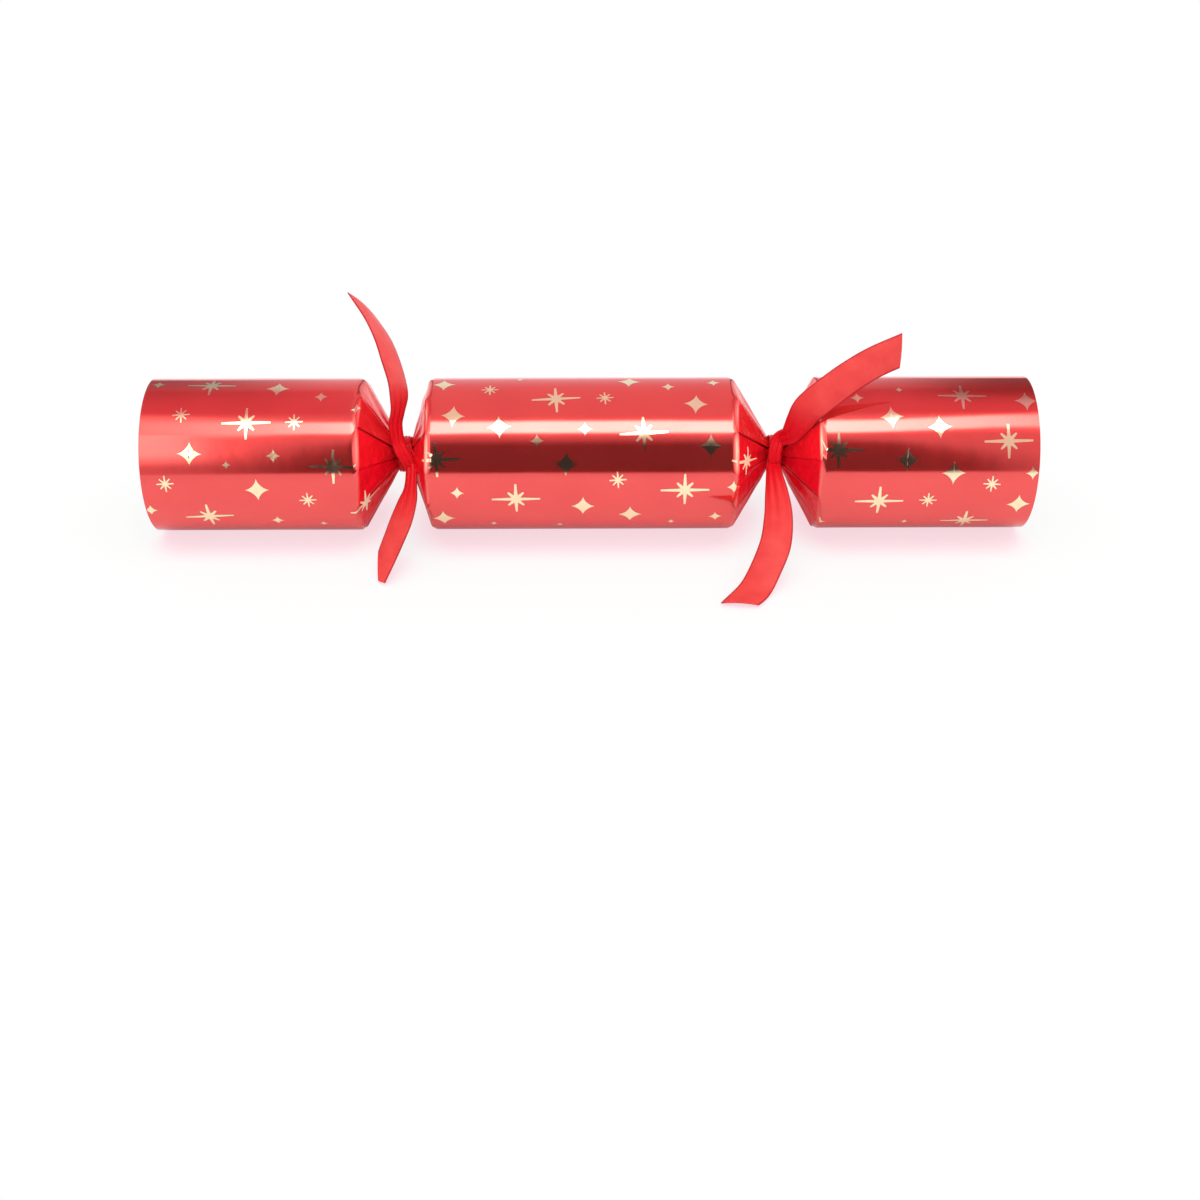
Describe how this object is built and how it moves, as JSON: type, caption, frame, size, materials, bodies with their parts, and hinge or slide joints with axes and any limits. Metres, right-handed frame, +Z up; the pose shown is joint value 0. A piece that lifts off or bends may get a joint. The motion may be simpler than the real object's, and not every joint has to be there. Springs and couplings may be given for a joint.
{
  "type": "christmas cracker",
  "caption": "Foil card cracker with tied, pleated necks and ribbon tails: the ends pull off, with a snap, rolled paper hat, motto and spinning top inside.",
  "frame": {"origin": "on the table, midway between the two necks", "axes": "+X along the cracker to the viewer's right, -Y towards the viewer and the ribbon knots, +Z up"},
  "size_m": [0.28, 0.0774, 0.0743],
  "materials": {
    "foil_card": "red mirror foil card with gold foil stars",
    "liner_card": "plain greyboard",
    "satin_ribbon": "single-face satin",
    "snap_card": "plain brown card",
    "hot_glue": "translucent hot-melt glue",
    "snap_charge": "dry grey compound",
    "snap_grit": "fine abrasive",
    "snap_paper": "uncoated paper",
    "tissue": "coloured tissue",
    "motto_paper": "uncoated paper",
    "toy_plastic": "moulded plastic",
    "toy_pin": "moulded plastic"
  },
  "bodies": {
    "barrel": {"barrel_sleeve": "foil_card", "barrel_liner": "liner_card"},
    "left_end": {"left_end_sleeve": "foil_card", "left_end_liner": "liner_card", "left_ribbon": "satin_ribbon", "left_snap_strip": "snap_card", "left_snap_glue": "hot_glue", "snap_charge": "snap_charge"},
    "right_end": {"right_end_sleeve": "foil_card", "right_end_liner": "liner_card", "right_ribbon": "satin_ribbon", "right_snap_strip": "snap_card", "right_snap_glue": "hot_glue", "snap_grit": "snap_grit", "snap_band": "snap_paper"},
    "hat": {"paper_hat": "tissue", "motto_slip": "motto_paper"},
    "toy": {"top_body": "toy_plastic", "top_spindle": "toy_pin"}
  },
  "joints": [
    {"name": "left_pull", "type": "slide", "parent": "barrel", "child": "left_end", "axis": [-1, 0, 0], "range_m": [0, 0.12]},
    {"name": "right_pull", "type": "slide", "parent": "barrel", "child": "right_end", "axis": [1, 0, 0], "range_m": [0, 0.12]},
    {"name": "hat_shift", "type": "slide", "parent": "barrel", "child": "hat", "axis": [1, 0, 0], "range_m": [-0.003, 0.002]},
    {"name": "top_shift", "type": "slide", "parent": "barrel", "child": "toy", "axis": [1, 0, 0], "range_m": [-0.002, 0.003]}
  ]
}
